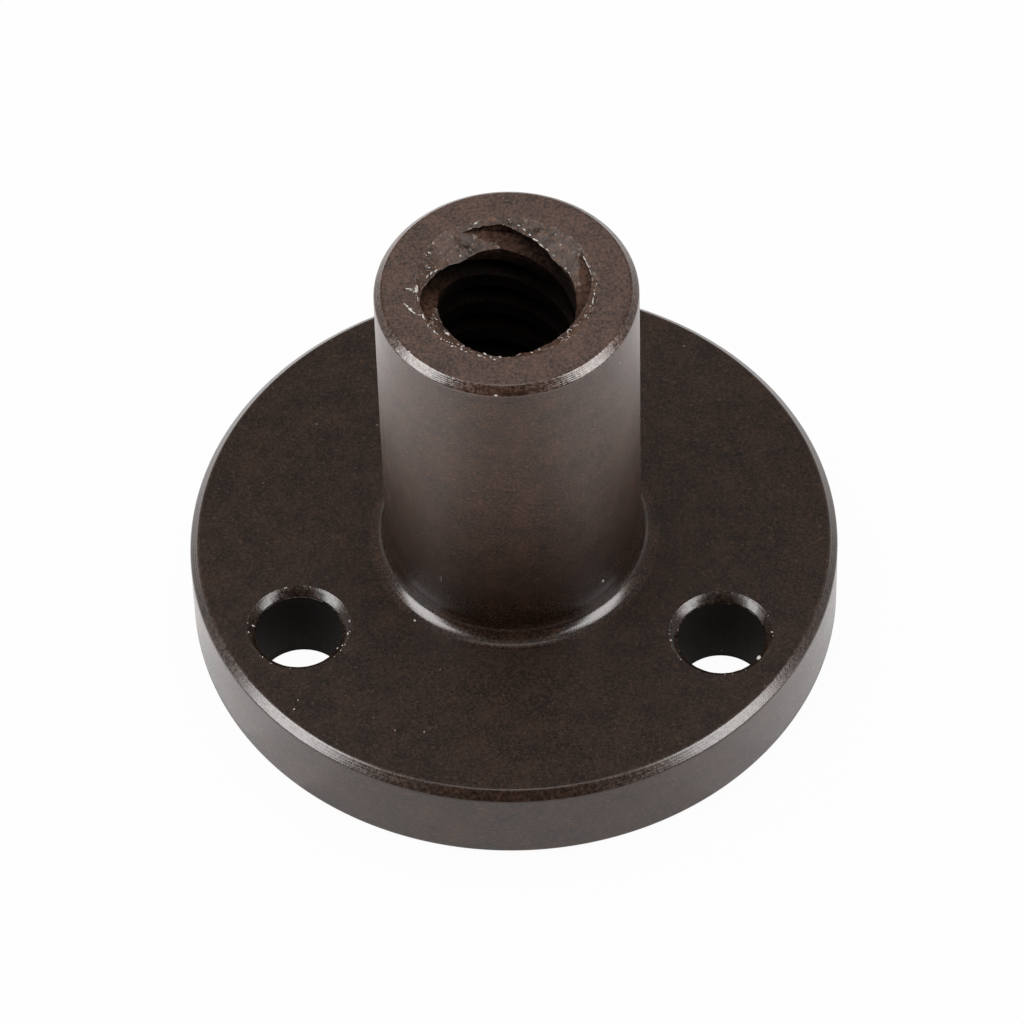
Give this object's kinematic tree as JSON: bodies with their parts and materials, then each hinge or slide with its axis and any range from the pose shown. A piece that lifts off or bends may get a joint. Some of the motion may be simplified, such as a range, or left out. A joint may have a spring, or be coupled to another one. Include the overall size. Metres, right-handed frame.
{
  "type": "lead screw flange nut",
  "caption": "Round flanged nut in dark plastic, with a long barrel, screw holes through the flange and a coarse internal lead thread.",
  "frame": {"origin": "centre of the flange underside, on the axis of the bore", "axes": "+Z along the bore from the flange to the nose of the barrel; +Y through the first screw hole"},
  "size_m": [0.0381, 0.038, 0.0282],
  "materials": {
    "filled_plastic": "turned dark brown filled plastic, matt with a faint sheen"
  },
  "bodies": {
    "root": {"flange_nut": "filled_plastic"}
  },
  "joints": []
}
